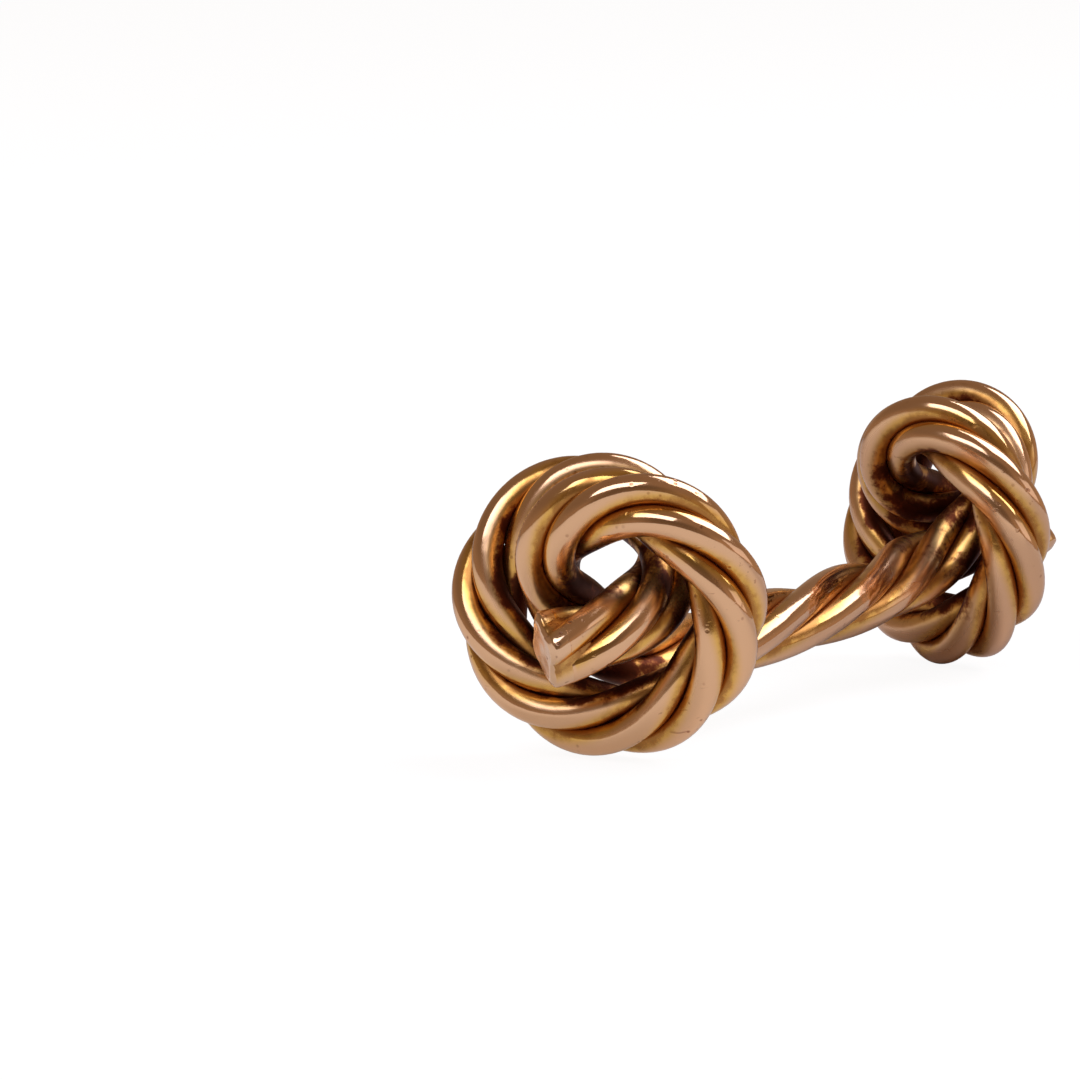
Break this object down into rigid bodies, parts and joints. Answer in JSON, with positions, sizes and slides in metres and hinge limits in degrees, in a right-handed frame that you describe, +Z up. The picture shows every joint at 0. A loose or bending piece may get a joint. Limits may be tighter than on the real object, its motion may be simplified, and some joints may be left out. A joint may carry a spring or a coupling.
{
  "type": "double-knot cufflink",
  "caption": "Rigid cufflink of twisted gold wire rope, tied in an overhand knot at each end, with a short straight bar between the knots to hold a shirt cuff closed.",
  "frame": {"origin": "on the surface that the link rests on, under the middle of its bounding box", "axes": "+X along the bar from the near knot to the far knot, +Z up with the link lying on both knots, +Y to the left of +X"},
  "size_m": [0.0276, 0.0094, 0.0084],
  "materials": {
    "rose_gold_wire": "polished rose gold, dark patina in the grooves, fine wear on the crests",
    "gold_solder": "polished, slightly pale"
  },
  "bodies": {
    "root": {"wire_1": "rose_gold_wire", "wire_2": "rose_gold_wire", "wire_3": "rose_gold_wire", "wire_4": "rose_gold_wire", "solder_near": "gold_solder", "solder_far": "gold_solder"}
  },
  "joints": []
}
